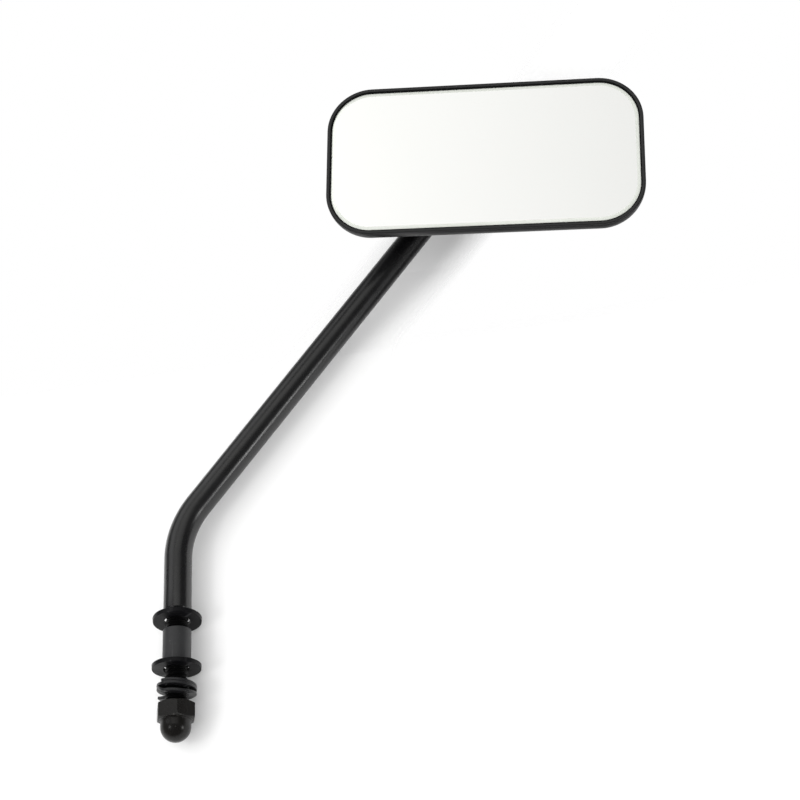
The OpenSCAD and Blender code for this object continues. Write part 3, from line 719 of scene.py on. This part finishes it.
def buildBallStud(shape):
    collarLow = shape["eyeThick"] / 2 - shape["reach"]
    collarHigh = collarLow + shape["collarThick"]
    nutLow = -shape["reach"] - shape["eyeThick"] / 2 - shape["splitThick"] - shape["nutHeight"]
    root = shape["shank"] - 0.45
    thread = threadedRings(nutLow - shape["tail"], collarLow - 4.0, root, shape["threadDepth"],
                           shape["pitch"], 96, 0.7, 0.8, shape["threadStep"])
    meetAngle = math.degrees(math.asin(shape["neck"] / shape["ball"]))
    collar = [(shape["shank"], collarLow - 3.8), (shape["shank"], collarLow)]
    collar += hexBlankProfile(shape["collar"], collarLow, collarHigh, shape["face"], False)
    fillet = shape["neckFillet"]
    neck = arcProfile(shape["neck"] + fillet, collarHigh + fillet, fillet, -90, -180, 5)
    ballRound = arcProfile(0, 0, shape["ball"], -90 + meetAngle + 1.5, 88.5, 40)
    turned = turnedRings(collar + neck + ballRound, 96)
    rings = thread + turnRings(turned, math.radians(shape["collarTurn"]))
    points, faces = loftRings(rings)
    piece = addPiece("ballStud", points, faces, [zincSteel], "stem",
                     ("ball_stud",), headMatrix)
    return breakEdges(piece, shape["edge"], 32, 2)


def buildStudNut(shape):
    high = -shape["reach"] - shape["eyeThick"] / 2 - shape["splitThick"]
    low = high - shape["nutHeight"]
    profile = hexBlankProfile(shape["collar"], low, high, shape["face"], True)
    bore, mouth = shape["shank"] + 0.05, shape["shank"] + 0.45
    profile += [(mouth, high), (bore, high - 0.4), (bore, low + 0.4), (mouth, low)]
    rings = turnRings(turnedRings(profile, 144), math.radians(shape["nutTurn"]))
    points, faces = loftRings(rings, closed=True)
    piece = addPiece("studLockNut", points, faces, [zincSteel], "stem",
                     ("stud_nut",), headMatrix)
    return breakEdges(piece, shape["edge"], 24, 2)


def buildSplitWasher(shape):
    low = -shape["reach"] - shape["eyeThick"] / 2 - shape["splitThick"]
    inner, outer, thick = shape["shank"] + 0.1, shape["splitOuter"], shape["splitThick"]
    # the cut between the two ends leans, so the upper corners stand further round than the lower ones
    corners = [(inner, 0, -1), (outer, 0, -1), (outer, thick, 1), (inner, thick, 1)]
    rings = []
    steps = 90
    for i in range(steps + 1):
        along = shape["splitStart"] + shape["splitSweep"] * i / steps
        ring = []
        for r, z, lean in corners:
            angle = math.radians(along + lean * shape["splitLean"])
            ring.append((r * math.cos(angle), r * math.sin(angle), low + z))
        rings.append(ring)
    points, faces = loftRings(rings)
    piece = addPiece("splitRing", points, faces, [zincSteel], "stem",
                     ("split_washer",), headMatrix)
    return breakEdges(piece, 0.12, 40, 2)


buildBallStud(ballShape)
buildStudNut(ballShape)
buildSplitWasher(ballShape)
print("ball stud in the eye")


# The mirror head

headShape = {
    "size": (119.1, 60.1), "corner": 17.0, "rimHeight": 14.5, "depth": 16.2, "side": 1.2, "run": 18.0,
    "wall": 2.2, "rim": 1.3, "rimRound": 0.5, "rimInnerRound": 0.2, "ledge": 10.4, "flangeIn": 3.45,
    "dome": 8.2, "domeFillet": 1.6, "seat": 6.05, "seatTop": 1.3, "mouth": 47.0,
    "gasketLow": 10.45, "gasketLedge": 10.95, "gasketIn": 3.4,
    "glassLow": 11.0, "glassHigh": 14.0, "lip": 0.45, "bevelWidth": 1.3, "bevelDepth": 0.35, "lipRise": 0.15}


def circleLoop(template, radius, height):
    # a round loop with one point for each of the outline's
    loop = []
    for x, y, _ in template:
        angle = math.atan2(y, x)
        loop.append((radius * math.cos(angle), radius * math.sin(angle), height))
    return loop


def buildShell(shape):
    size, corner, rim = shape["size"], shape["corner"], shape["rimHeight"]
    top = rim - shape["side"]
    depth = shape["depth"] - shape["side"]
    back = rim - shape["depth"]
    flat = headLoop(shape["run"], back, corner, size)
    dome, fillet, seat = shape["dome"], shape["domeFillet"], shape["seat"]
    mouth = math.radians(shape["mouth"])

    def ballLoop(radius, angle):
        # a round loop on a sphere about the ball's centre, the angle counted from the back
        return circleLoop(flat, radius * math.sin(angle), -radius * math.cos(angle))

    # from the seat round the ball, out over the mouth and the socket's dome, and on to the back
    rings = [ballLoop(seat, mouth + (math.pi / 2 - mouth) * k / 12) for k in range(12, -1, -1)]
    rings.append(ballLoop(dome - 0.3, mouth))
    meet = math.acos((-back + fillet) / (dome + fillet))
    start = mouth + 0.035
    rings += [ballLoop(dome, start + (meet - start) * k / 14) for k in range(15)]
    filletCentre = (dome + fillet) * math.sin(meet)
    begin = math.pi / 2 + meet
    for r, z in arcProfile(filletCentre, back - fillet, fillet, math.degrees(begin), 90, 8)[1:]:
        rings.append(circleLoop(flat, r, z))
    rings.append(circleLoop(flat, filletCentre + 0.4, back))
    # the flat back opens from a circle into the head's outline, then the curved sides rise to the rim
    startLoop = rings[-1]
    for share in (0.5, 0.94):
        rings.append([(a[0] + (b[0] - a[0]) * share, a[1] + (b[1] - a[1]) * share, back)
                      for a, b in zip(startLoop, flat)])
    for k in range(24):
        angle = math.radians(90 - 90 * k / 24)
        rings.append(headLoop(shape["run"] * (1 - math.cos(angle)),
                              top - depth * math.sin(angle), corner, size))
    rings.append(headLoop(0, top, corner, size))
    outer, inner = shape["rimRound"], shape["rimInnerRound"]
    for k in range(7):
        angle = math.radians(90 * k / 6)
        rings.append(headLoop(outer * (1 - math.cos(angle)),
                              rim - outer * (1 - math.sin(angle)), corner, size))
    for k in range(5):
        angle = math.radians(90 * k / 4)
        rings.append(headLoop(shape["rim"] - inner * (1 - math.sin(angle)),
                              rim - inner * (1 - math.cos(angle)), corner, size))
    rings.append(headLoop(shape["rim"], shape["ledge"], corner, size))
    rings.append(headLoop(shape["flangeIn"], shape["ledge"], corner, size))
    # the hollow behind the ledge, back to the inner end of the seat
    innerRun = shape["run"] - shape["flangeIn"]
    for k in range(2, 13):
        angle = math.radians(90 * k / 12)
        z = top - (depth - shape["wall"]) * math.sin(angle)
        if z < shape["ledge"] - 1:
            rings.append(headLoop(shape["flangeIn"] + innerRun * (1 - math.cos(angle)), z, corner, size))
    rings.append(circleLoop(flat, dome, back + shape["wall"]))
    rings.append(circleLoop(flat, dome - 0.1, shape["seatTop"]))
    rings.append(circleLoop(flat, seat, shape["seatTop"]))
    points, faces = loftRings(rings, closed=True)
    piece = addPiece("headShell", points, faces, [shellBlack], "head",
                     ("housing",), headMatrix)
    piece.data.set_sharp_from_angle(angle=math.radians(38))
    return piece


def buildGasket(shape):
    size, corner = shape["size"], shape["corner"]
    outer = shape["rim"] + 0.05
    inner = shape["rim"] + shape["lip"]
    high = shape["glassHigh"] + shape["lipRise"]
    middle, half = (outer + inner) / 2, (inner - outer) / 2
    profile = [(outer, shape["gasketLow"]), (outer, high - half)]
    for k in range(1, 8):
        angle = math.radians(180 * k / 8)
        profile.append((middle - half * math.cos(angle), high - half + half * math.sin(angle)))
    profile += [(inner, high - half), (inner, shape["gasketLedge"]),
                (shape["gasketIn"], shape["gasketLedge"]), (shape["gasketIn"], shape["gasketLow"])]
    rings = [headLoop(inset, height, corner, size) for inset, height in profile]
    points, faces = loftRings(rings, closed=True)
    piece = addPiece("glassRubber", points, faces, [gasketRubber], "head",
                     ("glass_gasket",), headMatrix)
    piece.data.set_sharp_from_angle(angle=math.radians(40))
    return piece


def buildGlass(shape):
    size, corner = shape["size"], shape["corner"]
    edge = shape["rim"] + shape["lip"] + 0.05
    low, high = shape["glassLow"], shape["glassHigh"]
    rings = [headLoop(edge + 0.2, low, corner, size), headLoop(edge, low + 0.2, corner, size),
             headLoop(edge, high - shape["bevelDepth"], corner, size),
             headLoop(edge + shape["bevelWidth"], high, corner, size)]
    points, faces = loftRings(rings)
    count = len(rings[0])
    slots = [1] * (3 * count) + [1, 0]
    piece = addPiece("mirrorGlass", points, faces, [mirrorSilver, groundBevel], "head",
                     ("mirror_glass",), headMatrix, slots)
    piece.data.set_sharp_from_angle(angle=math.radians(5))
    return piece


headShell = buildShell(headShape)
buildGasket(headShape)
buildGlass(headShape)
print("head closed:", len(headShell.data.polygons), "faces")

# What stays inside the head keeps its solid and takes its finish
insideFinish = {"ball_liner": nylonLiner, "friction_cup": zincSteel, "cup_spring": zincSteel,
                "retainer_plate": zincSteel, "retainer_screws": zincSteel, "foam_pad": padFoam}
for nodeName, finish in insideFinish.items():
    mesh = frame["nodes"][nodeName].data
    if not mesh.materials:
        mesh.materials.append(finish)
    for index in range(len(mesh.materials)):
        mesh.materials[index] = finish


# Camera, lights and the pale surface the mirror lies against

viewShape = {"place": (0.1899, -0.5685, -0.2394), "right": (0.977, 0.2078, -0.047),
             "up": (0.1423, -0.4723, 0.8699), "lens": 81.0, "sensor": 36.0}


def buildCamera(shape):
    data = bpy.data.cameras.new("photoView")
    data.lens = shape["lens"]
    data.sensor_width = shape["sensor"]
    data.clip_start = 0.01
    camera = bpy.data.objects.new("photoView", data)
    bpy.context.scene.collection.objects.link(camera)
    right = Vector(shape["right"]).normalized()
    up = Vector(shape["up"])
    up = (up - right * up.dot(right)).normalized()
    turned = Matrix((right, up, right.cross(up))).transposed().to_4x4()
    camera.matrix_world = Matrix.Translation(Vector(shape["place"])) @ turned
    bpy.context.scene.camera = camera


def buildLamp(name, target, direction, distance, size, radiance):
    # a rectangular softbox that faces the target; its power follows from how bright its face is
    data = bpy.data.lights.new(name, "AREA")
    data.shape = "RECTANGLE"
    data.size, data.size_y = size
    data.energy = radiance * math.pi * size[0] * size[1]
    lamp = bpy.data.objects.new(name, data)
    bpy.context.scene.collection.objects.link(lamp)
    way = Vector(direction).normalized()
    lamp.location = target + way * distance
    lamp.rotation_euler = way.to_track_quat("Z", "Y").to_euler()


def buildCard(name, target, direction, distance, size, bright):
    # a white card before the glass, a little brighter on its left and towards its top
    material, nodes, links, shader = newMaterial(name)
    nodes.remove(shader)
    place = nodes.new("ShaderNodeTexCoord")
    parts = nodes.new("ShaderNodeSeparateXYZ")
    links.new(place.outputs["Generated"], parts.inputs[0])
    across = rangeNode(nodes, links, parts.outputs["X"], 0.0, 1.0, bright["left"], bright["right"])
    upward = rangeNode(nodes, links, parts.outputs["Y"], bright["fadeFrom"], 1.0, 1.0, bright["top"])
    glow = nodes.new("ShaderNodeEmission")
    glow.inputs["Color"].default_value = bright["tint"]
    links.new(mathNode(nodes, links, "MULTIPLY", across, upward), glow.inputs["Strength"])
    clear = nodes.new("ShaderNodeBsdfTransparent")
    mix = nodes.new("ShaderNodeMixShader")  # only the mirror sees the card
    links.new(nodes.new("ShaderNodeLightPath").outputs["Is Camera Ray"], mix.inputs["Fac"])
    links.new(glow.outputs[0], mix.inputs[1])
    links.new(clear.outputs[0], mix.inputs[2])
    links.new(mix.outputs[0], nodes["Material Output"].inputs["Surface"])
    way = Vector(direction).normalized()
    mesh = bpy.data.meshes.new(name)
    w, h = size[0] / 2, size[1] / 2
    mesh.from_pydata([(-w, -h, 0), (w, -h, 0), (w, h, 0), (-w, h, 0)], [], [(0, 1, 2, 3)])
    mesh.materials.append(material)
    card = bpy.data.objects.new(name, mesh)
    bpy.context.scene.collection.objects.link(card)
    card.location = target + way * distance
    card.rotation_euler = way.to_track_quat("Z", "Y").to_euler()


# near, far, fadeLow and fadeHigh place the painted light that clears the head's shadow from the sheet
sheetShape = {
    "gap": 0.00935, "backGap": 0.0126, "stepLow": 0.115, "stepHigh": 0.15, "reach": 1.4, "tone": 0.8,
    "runTurn": 40.0, "runLow": 0.04585, "near": 0.008, "far": 0.02, "fadeLow": 0.09, "fadeHigh": 0.12}


def buildBacking(shape):
    # the pale sheet that the mirror lies against, seen from its front only
    material, nodes, links, shader = newMaterial("paleSheet")
    nodes.remove(shader)
    matte = nodes.new("ShaderNodeBsdfDiffuse")
    matte.inputs["Color"].default_value = (shape["tone"], shape["tone"], shape["tone"], 1)
    clear = nodes.new("ShaderNodeBsdfTransparent")
    facing = nodes.new("ShaderNodeNewGeometry")
    # the sheet dissolves into the white behind it away from the stem, where the head hangs over it: painted
    # light that clears the head's shadow there and keeps only the stem's
    parts = nodes.new("ShaderNodeSeparateXYZ")
    links.new(nodes.new("ShaderNodeTexCoord").outputs["Object"], parts.inputs[0])
    turn = math.radians(shape["runTurn"])
    height = mathNode(nodes, links, "SUBTRACT", parts.outputs["Z"], shape["runLow"])
    across = mathNode(nodes, links, "MULTIPLY", parts.outputs["X"], math.cos(turn))
    across = mathNode(nodes, links, "MULTIPLY_ADD", height, -math.sin(turn), across)
    across = mathNode(nodes, links, "ABSOLUTE", across)
    away = rangeNode(nodes, links, across, shape["near"], shape["far"], 0.0, 1.0)
    upward = rangeNode(nodes, links, parts.outputs["Z"], shape["fadeLow"], shape["fadeHigh"], 0.0, 1.0)
    headShadowClearing = mathNode(nodes, links, "MULTIPLY", away, upward)
    gone = mathNode(nodes, links, "MAXIMUM", headShadowClearing, facing.outputs["Backfacing"])
    mix = nodes.new("ShaderNodeMixShader")
    links.new(gone, mix.inputs["Fac"])
    links.new(matte.outputs[0], mix.inputs[1])
    links.new(clear.outputs[0], mix.inputs[2])
    links.new(mix.outputs[0], nodes["Material Output"].inputs["Surface"])
    profile = [(shape["gap"], -shape["reach"]), (shape["gap"], shape["stepLow"]),
               (shape["backGap"], shape["stepHigh"]), (shape["backGap"], shape["reach"])]
    points = [(x, y, z) for y, z in profile for x in (-shape["reach"], shape["reach"])]
    faces = [(2 * k, 2 * k + 1, 2 * k + 3, 2 * k + 2) for k in range(len(profile) - 1)]
    mesh = bpy.data.meshes.new("paleSheet")
    mesh.from_pydata(points, [], faces)
    mesh.materials.append(material)
    sheet = bpy.data.objects.new("paleSheet", mesh)
    bpy.context.scene.collection.objects.link(sheet)


def buildWorld(level):
    # white behind everything, a dome of light on the sheet, and in reflections dark walls with a paler rear
    world = bpy.data.worlds.new("studio")
    bpy.context.scene.world = world
    world.use_nodes = True
    nodes, links = world.node_tree.nodes, world.node_tree.links
    shade = nodes["Background"]
    path = nodes.new("ShaderNodeLightPath")
    toward = nodes.new("ShaderNodeVectorMath")
    toward.operation = "DOT_PRODUCT"
    outward = nodes.new("ShaderNodeTexCoord").outputs["Generated"]
    links.new(outward, toward.inputs[0])
    toward.inputs[1].default_value = Vector(level["centre"]).normalized()
    dome = mathNode(nodes, links, "MAXIMUM", toward.outputs["Value"], 0.0)
    dome = mathNode(nodes, links, "MULTIPLY", dome, level["dome"])
    parts = nodes.new("ShaderNodeSeparateXYZ")
    links.new(outward, parts.inputs[0])
    above = rangeNode(nodes, links, parts.outputs["Z"], *level["rise"], level["walls"], level["rear"])
    walls = rangeNode(nodes, links, parts.outputs["Y"], *level["behind"], level["walls"], above)
    strength = rangeNode(nodes, links, path.outputs["Is Glossy Ray"], 0.0, 1.0, dome, walls)
    strength = rangeNode(nodes, links, path.outputs["Is Camera Ray"], 0.0, 1.0, strength, 1.0)
    shade.inputs["Color"].default_value = (1, 1, 1, 1)
    links.new(strength, shade.inputs["Strength"])


lampSettings = {
    "keySoftbox": {"target": (Vector(cadBox[0]) + Vector(cadBox[1])) / 2, "direction": (-0.66, -0.62, 0.5),
                   "distance": 0.9, "size": (0.6, 0.68), "radiance": 1.0},
    "leftStrip": {"target": Vector((0, 0, -0.03)), "direction": (-0.417, -0.808, -0.218),
                  "distance": 0.5, "size": (0.06, 0.1), "radiance": 13.0},
    "rightStrip": {"target": Vector((0.005, 0.0, 0.05)), "direction": (0.885, -0.262, -0.385),
                   "distance": 0.5, "size": (0.07, 0.1), "radiance": 14.0}}
cardBright = {"left": 1.294, "right": 0.622, "fadeFrom": 0.9, "top": 1.1, "tint": (1.0, 0.995, 0.975, 1)}
worldLevel = {"dome": 2.15, "walls": 0.12, "rear": 0.7, "rise": (-0.1, 0.2), "behind": (0.0, 0.2),
              "centre": (-0.19, -0.96, -0.2)}

buildCamera(viewShape)
for lampName, settings in lampSettings.items():
    buildLamp(lampName, **settings)
buildCard("glassCard", ballCentre, (0.11, -0.965, 0.2), 1.2, (1.2, 0.56), cardBright)
buildBacking(sheetShape)
buildWorld(worldLevel)
bpy.context.scene.view_settings.view_transform = "Standard"
print("studio set")
